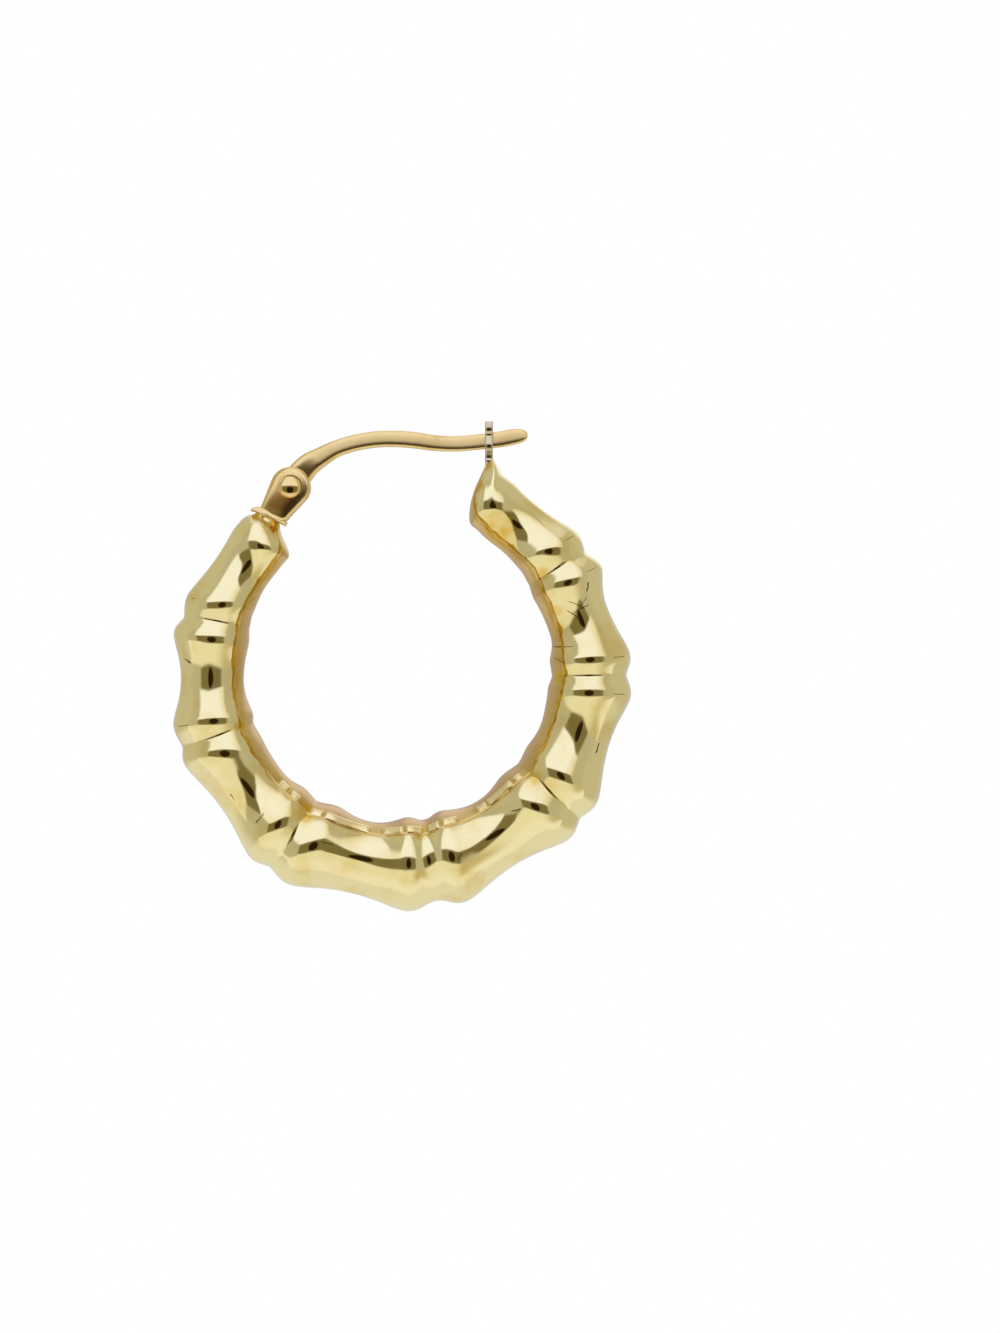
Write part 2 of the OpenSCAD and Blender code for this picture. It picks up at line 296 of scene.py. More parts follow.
# Edges of the tent's panels, in heights of its ceiling over the hoop: where each fade begins and ends. A
# panel with two ends comes in between the first two and goes between the last two
CARD_ENDS = (-1.2, -0.85, 0.65, 1.05)
FAR_ENDS = (-1.4, -0.9, 0.9, 1.3)
CARD_EDGE = (0.27, 0.41)
LENS_EDGE = (0.25, 0.29)
WING_FADE = (1.5, 4.8)
NEAR_RIGHT_FADE = (0.2, 1.2)
NEAR_LOW_FADE = (-0.7, -1.7)
FAR_RIGHT_FADE = (0.3, 1.2)
# Past the first from the middle, the near panel's edge falls back by the second for each height
NEAR_BEND, NEAR_SLOPE = 0.9, 0.25

# Sides of the tent's walls, and of the ground cloth close by: directions X and Y, the cosines between
# which each fades in, and its colour
WALL_SIDES = (
    (-0.1, -0.995, 0.35, 0.6, "wall_near"),
    (0.0, 1.0, 0.85, 0.95, "wall_far"),
)
CLOSE_SIDES = (
    (-0.1, -0.995, 0.4, 0.7, "ground_near"),
    (0.2, 0.98, 0.55, 0.85, "ground_far"),
)
# Close by ends between these distances from the middle, in millimetres
CLOSE_FADE = (22, 55)

# The photo's width and height in pixels, where the hoop's middle is in it, right and down, and its scale
WIDE_PX, HIGH_PX = 1000, 1333
MIDDLE_PX = (400.0, 682.0)
PIXELS_PER_MM = 18.2


def plain(label, text, value):
    """A property with no unit."""
    return FloatProperty(name=label, description=text, default=value)


def part_of(label, text, value):
    """A property from nothing, 0, to the whole, 1."""
    return FloatProperty(name=label, description=text, default=value, min=0, max=1, subtype="FACTOR")


def in_mm(label, text, size):
    """A length property, given in millimetres and kept in metres."""
    return FloatProperty(name=label, description=text, default=size * MM, unit="LENGTH", precision=5)


def in_degrees(label, text, turn):
    """An angle property, given in degrees and kept in radians."""
    return FloatProperty(name=label, description=text, default=np.radians(turn), subtype="ANGLE")


class EarringSizes(bpy.types.PropertyGroup):
    """Sizes of the earring."""

    hoop_turn: in_degrees("Hoop turn", "Turn of the thickest knuckle about the hoop's middle", 279.3)
    keel_waist: plain("Keel at waists", "Power of the cosine across: 1 is round, more is keeled", 1.2)
    keel_ridge: plain("Keel at knuckles", "The same at ridges and grooves", 1.04)
    keel_tip: plain("Keel at the tip", "The same on the catch's cap", 0.5)
    seam_waist: in_degrees("Seam at waists", "Place of the seam round the tube from the outer edge", 138.0)
    seam_groove: in_degrees("Seam at grooves", "The same in grooves", 130.0)
    seam_ridge: in_degrees("Seam at ridges", "The same at ridges", 133.0)
    seam_depth: in_mm("Seam depth", "Depth of the seam line", 0.03)
    seam_width: in_mm("Seam width", "Half the width of the seam line", 0.07)
    end_softening: IntProperty(
        name="End softening", description="Rounds of evening the rings at the ends", default=16, min=0
    )
    bead_height: in_mm("Bead height", "Height of the solder beads", 0.15)
    bead_width: in_mm("Bead width", "Width of the solder beads", 0.6)
    hinge_x: in_mm("Hinge X", "Rivet from the hoop's middle", -6.0)
    hinge_y: in_mm("Hinge Y", "Rivet from the hoop's middle", 10.71)
    base_turn: in_degrees("Base turn", "Turn of the bracket's base plate", -25.2)
    base_thickness: in_mm("Base thickness", "Thickness of the base plate", 0.3)
    base_top: in_mm("Base top", "Upper side of the base plate from the rivet", -1.8)
    base_left: in_mm("Base left end", "Outer end of the base plate from the rivet", -1.42)
    base_right: in_mm("Base right end", "Inner end of the base plate from the rivet", 0.66)
    base_corner: in_mm("Base corner", "Round corners of the base plate's ends", 0.08)
    base_overhang: in_mm("Base overhang", "How far the base plate stands past the ears", 0.1)
    base_bevel: in_mm("Base bevel", "Rounded rim of the base plate", 0.1)
    base_bend: in_mm("Base bend", "Height of the base plate's bend", 0.14)
    base_crown: plain("Base crown", "How fast the base plate's edge falls away up it, per mm", 0.05)
    base_peak: FloatVectorProperty(
        name="Base peak", description="Highest place of the base plate's edge from the rivet", size=2,
        unit="LENGTH", precision=5, default=(-0.35 * MM, -5.0 * MM)
    )
    base_brown: part_of("Base brown", "How brown the base plate is, as a share of the ears' faces", 0.3)
    ear_radius: in_mm("Ear radius", "Round end of a bracket ear", 1.1)
    ear_thickness: in_mm("Ear thickness", "Thickness of a bracket ear", 0.33)
    ear_gap: in_mm("Ear gap", "Gap between the ears", 0.78)
    ear_swell: in_mm("Ear swell", "How far an ear's face swells past its thickness", 0.05)
    ear_bevel: in_mm("Ear bevel", "Rounded rim of a bracket ear", 0.22)
    ear_inner_bevel: part_of("Inner bevel", "Bevel of an ear's hidden face, as a share of the other", 0.1)
    foot_corner: in_mm("Foot corner", "Round corners of an ear's foot", 0.4)
    foot_inset: in_mm("Foot inset", "How far those corners stand in from the foot's own", 0.03)
    ear_crown: FloatVectorProperty(
        name="Ear crown", description="How fast an ear's face falls away across and along, per mm", size=2,
        default=(0.085, 0.036)
    )
    ear_peak: FloatVectorProperty(
        name="Ear peak", description="Highest place of an ear's face from the rivet", size=2, unit="LENGTH",
        precision=5, default=(0.6 * MM, -1.2 * MM)
    )
    head_radius: in_mm("Rivet head radius", "Radius of a rivet head", 0.67)
    head_height: in_mm("Rivet head height", "Height of a rivet head", 0.27)
    head_tilt: plain("Rivet head tilt", "Slope of the dome toward its foot", 0.11)
    head_gap: in_mm("Rivet head gap", "Gap under a rivet head", 0.01)
    collar_width: in_mm("Collar width", "Flat rim round a rivet's dome", 0.08)
    collar_height: in_mm("Collar height", "Height of that rim", 0.06)
    collar_edge: in_mm("Collar edge", "Sloped edge of that rim", 0.03)
    dome_sink: in_mm("Dome sink", "How far the dome's foot lies under that rim", 0.02)
    pin_radius: in_mm("Rivet shaft radius", "Radius of the rivet's shaft", 0.3)
    wire_squareness: plain("Wire squareness", "Power of sine and cosine: 1 is an ellipse", 0.54)
    wire_roll: in_degrees("Wire roll", "Turn of the wire's flat about itself", 8.0)
    eye_radius: in_mm("Eye radius", "Radius of the ear wire's eye", 0.82)
    eye_thickness: in_mm("Eye thickness", "Thickness of the ear wire's eye", 0.72)
    eye_bevel: in_mm("Eye bevel", "Rounded rim of the eye", 0.05)
    catch_x: in_mm("Catch X", "Middle of the catch strip", 4.89)
    catch_width: in_mm("Catch width", "Width of the catch strip", 0.43)
    catch_strip: in_mm("Catch strip", "Thickness of the catch strip", 0.16)
    catch_squareness: plain("Catch squareness", "Power of the cosine across the catch strip", 0.7)


class StudioSizes(bpy.types.PropertyGroup):
    """Sizes of the stage."""

    camera_away: in_mm("Camera distance", "From the camera to the hoop", 300.0)
    tent_height: in_mm("Tent height", "Tent's ceiling over the hoop", 250.0)
    tent_half: in_mm("Tent half width", "Half the width of the tent", 1200.0)
    ground_drop: in_mm("Ground drop", "Ground cloth under the hoop", 30.0)
    table_half: in_mm("Table half width", "Half the width of the light table", 3000.0)


def linear(text):
    """An sRGB hex colour as linear red, green, blue: a channel is divided by 12.92 if it is dark, and
    otherwise has 0.055 added, is divided by 1.055 and raised to the power 2.4."""
    s = np.array([int(text[i:i + 2], 16) / 255 for i in (0, 2, 4)])
    return tuple(np.where(s <= 0.04045, s / 12.92, ((s + 0.055) / 1.055) ** 2.4))


def colour(label, text):
    """A colour property of the finishes, with its default in sRGB hex."""
    return FloatVectorProperty(name=label, description=f"{label}, linear", subtype="COLOR", size=3,
                               min=0, max=1, default=linear(text))


class EarringFinishes(bpy.types.PropertyGroup):
    """Colours of the metals, of the stage and of what the metal mirrors."""

    yellow_gold: colour("Yellow gold", "f6edc6")
    stain: colour("Stain on the gold", "e8cf86")
    tarnish: colour("Tarnish by the seam", "dfba4a")
    # Also the colour of the dark lines along the ridges
    dirt: colour("Dirt in scratches", "5c451a")
    seam: colour("Seam line", "c2982f")
    seam_low: colour("Seam line at the thick end", "e0c384")
    strip: colour("Inner strip", "ddc78c")
    strip_stain: colour("Stain on the inner strip", "cda95c")
    strip_edge: colour("Inner strip, far from the seam", "dcbc92")
    # Beads of solder: the solder's paler metal, with a painted highlight on the bead tops
    solder: colour("Beads of solder", "fff0c8")
    rose_gold: colour("Rosier gold", "f1d8a4")
    # Browner colour toward the middle of the bracket's faces; the rims keep the rosier gold
    face: colour("Unworn faces of the bracket", "dcae78")
    rose_stain: colour("Stain on the rosier gold", "dbb878")
    white_gold: colour("White gold", "d9cdbd")
    far_side: colour("Far side of the tent", "ffffff")
    far_right: colour("Far side, right", "e8deb8")
    near_side: colour("Near side of the tent", "efe9c8")
    near_low: colour("Near side, lower down", "f6f0da")
    near_right: colour("Near side, right", "cdbf90")
    wing: colour("Wings of the tent", "bfb99c")
    wall_side: colour("Side walls", "c9c2a2")
    wall_near: colour("Near wall", "e8e4d0")
    wall_far: colour("Far wall", "e6e0d2")
    ground: colour("Ground cloth", "cbc7c4")
    ground_near: colour("Ground cloth, near side", "e2dfda")
    ground_far: colour("Ground cloth, far side", "fdfdfb")
    grey_card: colour("Grey card round the lens", "7d7248")
    lens: colour("Lens", "2a1c05")
    table: colour("Light table", "ffffff")


def sizes():
    """Every size as set, with lengths in millimetres and angles in degrees."""
    part = {"LENGTH": MM, "ROTATION": np.pi / 180}
    found = {}
    for group in (bpy.context.scene.earring_sizes, bpy.context.scene.studio_sizes):
        for key in group.__annotations__:
            unit, value = group.bl_rna.properties[key].unit, getattr(group, key)
            found[key] = np.array(value) / part[unit] if unit in part else value
    return SimpleNamespace(**found)


def finishes():
    """The finishes' colours as set, each as linear red, green, blue."""
    group = bpy.context.scene.earring_finishes
    return SimpleNamespace(**{key: tuple(getattr(group, key)) for key in group.__annotations__})


def per_metre(size):
    """The scale on Object coordinates of a pattern whose features lie this many millimetres apart."""
    return 1 / (np.array(size) * MM)


def row_frame(points):
    """Flat millimetres to metres as the earring lies: turned so that Z goes to the hinge's axis by the
    shortest way, then moved so that the rivet comes to the hinge."""
    axis = np.array(HINGE["axis"]) / np.linalg.norm(HINGE["axis"])
    x, y, c = axis
    cross = np.array([[0, 0, x], [0, 0, y], [-x, -y, 0]])
    turn = np.eye(3) + cross + cross @ cross / (1 + c)
    rivet = np.array([sizes().hinge_x, sizes().hinge_y, 0.0])
    return (np.asarray(points) - rivet) @ turn.T * MM + np.array(HINGE["pos_m"])


def smooth_rows(rows, count):
    """Rows through a table by Catmull-Rom splines, spread evenly by the distance of the first two
    columns."""
    way = np.r_[0, np.cumsum(np.hypot(*np.diff(rows[:, :2], axis=0).T))]
    at = np.interp(np.linspace(0, way[-1], count), way, np.arange(len(rows)))
    i = np.minimum(at.astype(int), len(rows) - 2)
    t = (at - i)[:, None]
    a, b, c, d = rows[np.maximum(i - 1, 0)], rows[i], rows[i + 1], rows[np.minimum(i + 2, len(rows) - 1)]
    return b + ((c - a) * t + (2 * a - 5 * b + 4 * c - d) * t ** 2 + (3 * b - a - 3 * c + d) * t ** 3) / 2


def mesh_piece(name, grid, body, nodes, material, attributes=None):
    """A closed skin over a grid of points, rows along by columns round: neighbouring rings are joined by
    quads, and each end is closed by triangles to the middle of its ring."""
    if not np.isfinite(grid).all():
        raise ValueError(f"{name}: its sizes give no surface")
    rows, columns = grid.shape[:2]
    points = np.vstack([grid.reshape(-1, 3), grid[0].mean(0), grid[-1].mean(0)])
    ring, starts = np.arange(columns), np.arange(rows - 1)[:, None] * columns
    ahead, last, count = (ring + 1) % columns, (rows - 1) * columns, rows * columns
    a, b = (starts + ring).ravel(), (starts + ahead).ravel()
    quads = np.stack([a, b, b + columns, a + columns], axis=1)
    first_fan = np.stack([np.full(columns, count), ahead, ring], axis=1)
    last_fan = np.stack([np.full(columns, count + 1), last + ring, last + ahead], axis=1)
    mesh = bpy.data.meshes.new(name)
    mesh.from_pydata(row_frame(points), [], [*quads.tolist(), *first_fan.tolist(), *last_fan.tolist()])
    mesh.polygons.foreach_set("use_smooth", np.ones(len(mesh.polygons), dtype=bool))
    for key, values in (attributes or {}).items():
        ends = np.r_[values.ravel(), values[0].mean(), values[-1].mean()]
        mesh.attributes.new(key, "FLOAT", "POINT").data.foreach_set("value", ends.astype(np.float32))
    mesh.materials.append(material)
    piece = bpy.data.objects.new(name, mesh)
    bpy.context.scene.collection.objects.link(piece)
    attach(piece, body)
    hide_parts(*nodes)
    return piece


def on_hoop(degrees, radius):
    """X and Y at degrees round the hoop from the thickest knuckle and radii."""
    turn = np.radians(sizes().hoop_turn + degrees)
    return np.column_stack([radius * np.cos(turn), radius * np.sin(turn)])


def share(t, start_part, end_part):
    """How far the tube has gone from one station to the next: the slope grows evenly from nothing over
    start_part, holds, and falls evenly to nothing over end_part."""
    rise = np.minimum(t, start_part) ** 2 / (2 * start_part) + np.maximum(t - start_part, 0)
    fall = np.maximum(t - (1 - end_part), 0) ** 2 / (2 * end_part)
    return (rise - fall) / (1 - (start_part + end_part) / 2)


def rounded_part(kind, other):
    """The part of the way to the next station over which the tube is rounded: long at a waist, short at
    the waist side of a ridge, shortest in the sharp bottom of a groove."""
    return {WAIST: 0.6, GROOVE: 0.12, ROUNDED: 0.4}.get(kind, 0.15 if other == WAIST else 0.5)


def tube_rings():
    """All rings of the hoop as columns: outer edge X and Y, crest X and Y, inner edge X and Y, half depth,
    keel, seam angle; and the rings' numbers at the stations. Degrees change evenly between stations, the
    rest by share(). An end cap's smooth rows follow at both ends, and there the rings are evened in
    rounds: each is moved by a quarter of its two neighbours' sum less twice itself."""
    s = sizes()
    keel = {WAIST: s.keel_waist, GROOVE: s.keel_ridge, RIDGE: s.keel_ridge, ROUNDED: s.keel_ridge}
    seam = {WAIST: s.seam_waist, GROOVE: s.seam_groove, RIDGE: s.seam_ridge, ROUNDED: s.seam_ridge}
    kinds = STATIONS[:, 7]
    stations = np.column_stack([STATIONS[:, :7], [keel[k] for k in kinds], [seam[k] for k in kinds]])
    out, steps = [stations[:1]], []
    for a, b, kind, next_kind in zip(stations[:-1], stations[1:], kinds[:-1], kinds[1:]):
        steps.append(WAIST_STEPS if WAIST in (kind, next_kind) else STEPS)
        t = np.arange(1, steps[-1] + 1) / steps[-1]
        gone = share(t, rounded_part(kind, next_kind), rounded_part(next_kind, kind))
        out.append(a + (b - a) * np.stack([t, gone, t, gone, gone, t, gone, gone, gone], axis=1))
    rows = np.vstack(out)
    flat = [on_hoop(rows[:, k], rows[:, k + 1]) for k in (0, 2, 5)]
    tube = np.column_stack([*flat, rows[:, 4], rows[:, 7:]])
    caps = []
    for table, end, keel_end in ((HINGE_CAP, tube[0], s.keel_ridge), (CATCH_CAP, tube[-1], s.keel_tip)):
        cap = smooth_rows(np.vstack([end[:7], table]), CAP_RINGS + 1)[1:]
        keels = np.interp(np.arange(CAP_RINGS), [0, CAP_RINGS // 2], [s.keel_ridge, keel_end])
        caps.append(np.column_stack([cap, keels, np.full(CAP_RINGS, end[8])]))
    rings = np.vstack([caps[0][::-1], tube, caps[1]])
    number = np.arange(len(rings))
    from_end = np.minimum(number, number[::-1])
    softness = np.clip((CAP_RINGS + SOFT_FADE - from_end) / SOFT_FADE, 0, 1)[1:-1, None]
    for _ in range(s.end_softening):
        rings[1:-1] += softness * (rings[:-2] - 2 * rings[1:-1] + rings[2:]) / 4
    return rings, len(caps[0]) + np.r_[0, np.cumsum(steps)]


def ring_angles(seam):
    """Angles round each ring from its outer edge: even from 0 to before the seam and from after it to 180,
    with extra lines close to it, and the same mirrored from 180 to 360. They are given in falling order, so
    that the faces point outwards."""
    before = (seam - SEAM_CLEAR) * np.linspace(0, 1, OUTER_LINES)
    after = seam + SEAM_CLEAR + (180 - SEAM_CLEAR - seam) * np.linspace(0, 1, INNER_LINES)
    half = np.hstack([before, seam + SEAM_LINES, after])
    return np.hstack([half, 360 - half[:, -2:0:-1]])[:, ::-1]


def hoop_surface():
    """The tube: a point of a ring lies from the crest toward the outer or inner edge by the cosine of its
    angle raised to the keel, and out of the mid plane by the half depth times the sine. Near the seam both
    are drawn in by a groove, its depth times a bell curve of the distance, and pushed out inside it by
    beads of solder, the bead height times the bead's share, a smooth step at its ends and its profile
    across. Gives the grid and, for the finish, each point's distance in millimetres from the seam,
    negative outside it, its distance from the nearest ridge, the cosine of its angle and how much solder
    stands there."""
    s = sizes()
    rings, station_rings = tube_rings()
    outer, crest, inner = rings[:, None, 0:2], rings[:, None, 2:4], rings[:, None, 4:6]
    depth, keel, seam = rings[:, 6, None], rings[:, 7, None], rings[:, 8, None]
    degrees = ring_angles(seam)
    angle = np.radians(degrees)
    across = (np.abs(np.cos(angle)) ** keel)[..., None]
    size = (np.linalg.norm(outer - inner, axis=2) / 2 + depth) / 2
    seam_mm = np.radians(180 - np.abs(180 - degrees) - seam) * size
    groove = s.seam_depth * np.exp(-(seam_mm / s.seam_width * GROOVE_FALL) ** 2)

    round_hoop = np.degrees(np.arctan2(rings[:, 5], rings[:, 4])) - s.hoop_turn
    round_hoop = (round_hoop[:, None] + 180) % 360 - 180
    ends = np.clip(np.minimum(round_hoop - BEADS[:, 0], BEADS[:, 1] - round_hoop) / BEAD_END, 0, 1)
    standing = (BEADS[:, 2] * ends ** 2 * (3 - 2 * ends)).max(1)[:, None]
    solder = standing * np.interp(seam_mm / s.bead_width, *BEAD_PROFILE.T)
    cut = 1 + (s.bead_height * solder - groove) / size

    side = np.where((np.cos(angle) > 0)[..., None], outer, inner)
    flat = crest + (side - crest) * across * cut[..., None]
    along = np.r_[0, np.cumsum(np.hypot(*np.diff(rings[:, 2:4], axis=0).T))]
    ridges = along[station_rings[STATIONS[:, 7] == RIDGE]]
    ridge_mm = np.abs(along[:, None] - ridges).min(1)[:, None] + 0 * angle
    grid = np.dstack([flat, depth * np.sin(angle) * cut])
    return grid, {"seam_mm": seam_mm, "ridge_mm": ridge_mm, "outward": np.cos(angle), "solder": solder}


def polar(radius, degrees):
    """Points at a radius and angles in degrees, as rows of X and Y."""
    turn = np.radians(degrees)
    return np.column_stack([radius * np.cos(turn), radius * np.sin(turn)])


def round_angles(count):
    """Angles in degrees evenly round a circle."""
    return np.linspace(0, 360, count + 1)[:-1]


def rounded(wave, power):
    """A cosine or sine raised to a power, with its sign kept: below 1 it squares a ring off."""
    return np.sign(wave) * np.abs(wave) ** power


def rectangle(left, right, bottom, top, corner):
    """A rectangle's outline with quarter-circle corners, anticlockwise."""
    turn = np.linspace(0, 90, 7)
    middles = [(right - corner, top - corner), (left + corner, top - corner),
               (left + corner, bottom + corner), (right - corner, bottom + corner)]
    corners = [np.array(m) + polar(corner, turn + 90 * k) for k, m in enumerate(middles)]
    way = np.linspace(0, 1, 8)[1:-1, None]
    sides = [a[-1] + (b[0] - a[-1]) * way for a, b in zip(corners, corners[1:] + corners[:1])]
    return np.vstack([points for pair in zip(corners, sides) for points in pair])


def ear_outline():
    """An ear's outline about the rivet, in the base plate's turn: the round end, straight sides that touch
    it and run to the foot, and rounded corners there. From a corner of the foot, a side touches the round
    end where the angle at the rivet is the arc cosine of the end's radius over the corner's distance."""
    s = sizes()
    far = np.hypot(*EAR_FOOT.T)
    toward = np.degrees(np.arctan2(EAR_FOOT[:, 1], EAR_FOOT[:, 0]))
    open_by = np.degrees(np.arccos(s.ear_radius / far))
    arc = polar(s.ear_radius, np.linspace(toward[1] + open_by[1], toward[0] - open_by[0] + 360, 61))
    inset = s.foot_corner + s.foot_inset
    left_foot = EAR_FOOT[0] + (inset, s.foot_corner) + polar(s.foot_corner, np.linspace(185, 270, 9))
    right_foot = EAR_FOOT[1] + (-inset, s.foot_corner) + polar(s.foot_corner, np.linspace(270, 355, 9))
    way = np.linspace(0, 1, 16)[1:-1, None]
    left, bottom, right = (a + (b - a) * way for a, b in (
        (arc[-1], left_foot[0]), (left_foot[-1], right_foot[0]), (right_foot[-1], arc[0])))
    return np.vstack([arc, left, left_foot, bottom, right_foot, right])


def plate(outline, low, high, bevel, low_part=1.0, peak=(0.0, 0.0), crown=(0.0, 0.0)):
    """A plate between two heights over an outline. Its rim is drawn in along the outline's normals by a
    quarter circle at both faces, on the lower one by low_part of the bevel, and the faces are the drawn-in
    outline shrunk to the middle. The upper face falls away from its peak by the two crowns times the
    squares of the distances across and along, is at its full height at the middle, and stays above the
    lower rim. Gives the grid and how far each point is in from the rim, from 0 to 1."""
    along = np.roll(outline, -1, axis=0) - np.roll(outline, 1, axis=0)
    along /= np.linalg.norm(along, axis=1, keepdims=True)
    inward = np.column_stack([-along[:, 1], along[:, 0]])
    turn = np.radians(np.linspace(0, 90, RIM_RINGS))
    low_bevel = bevel * low_part
    lower, upper = (outline + inward * (b * (1 - np.sin(turn)))[:, None, None] for b in (low_bevel, bevel))
    middle = outline.mean(0)
    shrunk = np.linspace(0.02, 0.98, FACE_RINGS)[:, None, None]
    flat = np.concatenate([middle + (lower[0] - middle) * shrunk, lower, upper[::-1],
                           middle + (upper[0] - middle) * shrunk[::-1]])
    heights = np.r_[np.full(FACE_RINGS, low), low + low_bevel * (1 - np.cos(turn)),
                    (high - bevel * (1 - np.cos(turn)))[::-1], np.full(FACE_RINGS, high)][:, None]
    fall = (np.array(crown) * ((flat - peak) ** 2 - (middle - peak) ** 2)).sum(2)
    upper_half = np.arange(len(flat))[:, None] >= FACE_RINGS + RIM_RINGS
    fallen = np.maximum(heights - fall, low + low_bevel + RIM_STEP)
    inset = np.r_[np.clip((1 - shrunk.ravel()) / BROWN_SHARE, 0, 1), np.zeros(RIM_RINGS)]
    grid = np.dstack([flat, np.where(upper_half, fallen, heights + 0 * fall)])
    return grid, np.r_[inset, inset[::-1]][:, None] + 0 * fall


def at_hinge(grid):
    """A grid in the bracket's own turn about the rivet, turned and moved to the hinge in the hoop's
    plane."""
    s = sizes()
    turn = np.radians(s.base_turn)
    x, y = grid[..., 0], grid[..., 1]
    return np.dstack([s.hinge_x + x * np.cos(turn) - y * np.sin(turn),
                      s.hinge_y + x * np.sin(turn) + y * np.cos(turn), grid[..., 2]])


def bracket_ear():
    """The front ear: a plate over its outline, from the gap outward, with a swollen and crowned outer
    face."""
    s = sizes()
    inner = s.ear_gap / 2
    ear, inset = plate(ear_outline(), inner, inner + s.ear_thickness + s.ear_swell, s.ear_bevel,
                       s.ear_inner_bevel, s.ear_peak, s.ear_crown)
    return at_hinge(ear), inset


def bracket_base():
    """The base plate under the ears: a plate over a rectangle that is thinned about its middle line and
    raised by the bend, both by their tables along X."""
    s = sizes()
    x, y = rectangle(s.base_left, s.base_right, s.base_top - s.base_thickness, s.base_top, s.base_corner).T
    middle = s.base_top - s.base_thickness / 2
    outline = np.column_stack([x, middle + (y - middle) * np.interp(x, *BASE_THIN.T)
                               + s.base_bend * np.interp(x, *BASE_BEND.T)])
    half = s.ear_gap / 2 + s.ear_thickness + s.base_overhang
    base, inset = plate(outline, -half, half, s.base_bevel, 1.0, s.base_peak, (0.0, s.base_crown))
    return at_hinge(base), inset * s.base_brown


def rivet_surface():
    """The rivet, its side view turned about its axis: a dome with radius by the cosine and height by the
    sine of an angle, the flat rim and its sloped edge, the shaft, and the same mirrored. A dome leans: its
    height changes by the tilt times the distance toward its foot."""
    s = sizes()
    seat = s.ear_gap / 2 + s.ear_thickness + s.head_gap
    lift = np.radians(np.linspace(88, 0, DOME_RINGS))
    dome = s.collar_height - s.dome_sink + (s.head_height - s.collar_height) * np.sin(lift)
    radius = np.r_[(s.head_radius - s.collar_width) * np.cos(lift),
                   s.head_radius - s.collar_edge, s.head_radius, s.head_radius, s.pin_radius]
    height = seat + np.r_[dome, s.collar_height, s.collar_height - s.collar_edge, 0.0, 0.0]
    tilt = np.r_[np.full(DOME_RINGS, s.head_tilt), np.zeros(4)]
    radius, height = np.r_[radius, radius[::-1]][:, None], np.r_[-height, height[::-1]][:, None]
    tilt = np.r_[tilt, -tilt[::-1]][:, None]
    turn = np.radians(round_angles(ROUND_LINES))
    down = radius * np.sin(turn)
    return at_hinge(np.dstack([radius * np.cos(turn), down, height + tilt * down]))


def wire_surface():
    """The ear wire's bar: rings across a smooth line through its table. A ring's points are half the width
    times the rounded cosine and half the thickness times the rounded sine. Over a millimetre past the
    bracket the rings roll about the line by the wire's roll."""
    s = sizes()
    rows = smooth_rows(WIRE, WIRE_RINGS)
    along = np.gradient(rows[:, :2], axis=0)
    along /= np.linalg.norm(along, axis=1, keepdims=True)
    across = np.column_stack([along[:, 1], -along[:, 0]])
    turn = np.radians(round_angles(ROUND_LINES))
    wide = rounded(np.cos(turn), s.wire_squareness) * rows[:, 2:3] / 2
    thick = rounded(np.sin(turn), s.wire_squareness) * rows[:, 3:4] / 2
    from_rivet = np.hypot(rows[:, 0] - s.hinge_x, rows[:, 1] - s.hinge_y)
    roll = np.radians(s.wire_roll) * np.clip(from_rivet - s.ear_radius, 0, 1)[:, None]
    aside, rise = wide * np.cos(roll) - thick * np.sin(roll), wide * np.sin(roll) + thick * np.cos(roll)
    return np.dstack([rows[:, None, :2] + across[:, None] * aside[..., None], rise])[:, ::-1]


def eye_surface():
    """The ear wire's eye: a plate over a circle, between the ears."""
    s = sizes()
    outline = polar(s.eye_radius, round_angles(ROUND_LINES))
    return at_hinge(plate(outline, -s.eye_thickness / 2, s.eye_thickness / 2, s.eye_bevel)[0])


def prong_surface(side):
    """A catch prong, 1 for the front one and -1 for the back one: rings across a smooth line through its
    table. A ring's points are half the strip's width times the rounded cosine across, and half its
    thickness times the sine along the line's normal."""
    s = sizes()
    rows = smooth_rows(PRONG, PRONG_RINGS)
    along = np.gradient(rows, axis=0)
    along /= np.linalg.norm(along, axis=1, keepdims=True)
    turn = np.radians(round_angles(PRONG_LINES))
    out = s.catch_strip / 2 * np.sin(turn)
    height = rows[:, :1] - along[:, 1:] * out
    distance = rows[:, 1:] + along[:, :1] * out
    wide = s.catch_width / 2 * rounded(np.cos(turn), s.catch_squareness)
    x = np.broadcast_to(s.catch_x + wide * side, height.shape)
    return np.dstack([x, height, distance * side])[:, ::-1]


def add(tree, kind, inputs=None, **settings):
    """A node with its settings and what its inputs take: a socket to link from, or a value."""
    new = tree.nodes.new(kind)
    for key, value in settings.items():
        setattr(new, key, value)
    for key, value in (inputs or {}).items():
        if isinstance(value, bpy.types.NodeSocket):
            tree.links.new(value, new.inputs[key])
        else:
            new.inputs[key].default_value = value
    return new


def new_material(name):
    """An empty material with its output, as material, tree and output."""
    made = bpy.data.materials.new(name)
    made.use_nodes = True
    made.node_tree.nodes.clear()
    return made, made.node_tree, add(made.node_tree, "ShaderNodeOutputMaterial")


def hump(tree, value, low, rise, fall, high):
    """A smooth hump of a socket's value: up from low to rise, down from fall to high."""
    up = add(tree, "ShaderNodeMapRange", {"Value": value, "From Min": low, "From Max": rise},
             interpolation_type="SMOOTHSTEP")
    down = add(tree, "ShaderNodeMapRange", {"Value": value, "From Min": high, "From Max": fall},
               interpolation_type="SMOOTHSTEP")
    return add(tree, "ShaderNodeMath", {0: up.outputs["Result"], 1: down.outputs["Result"]},
               operation="MULTIPLY").outputs[0]


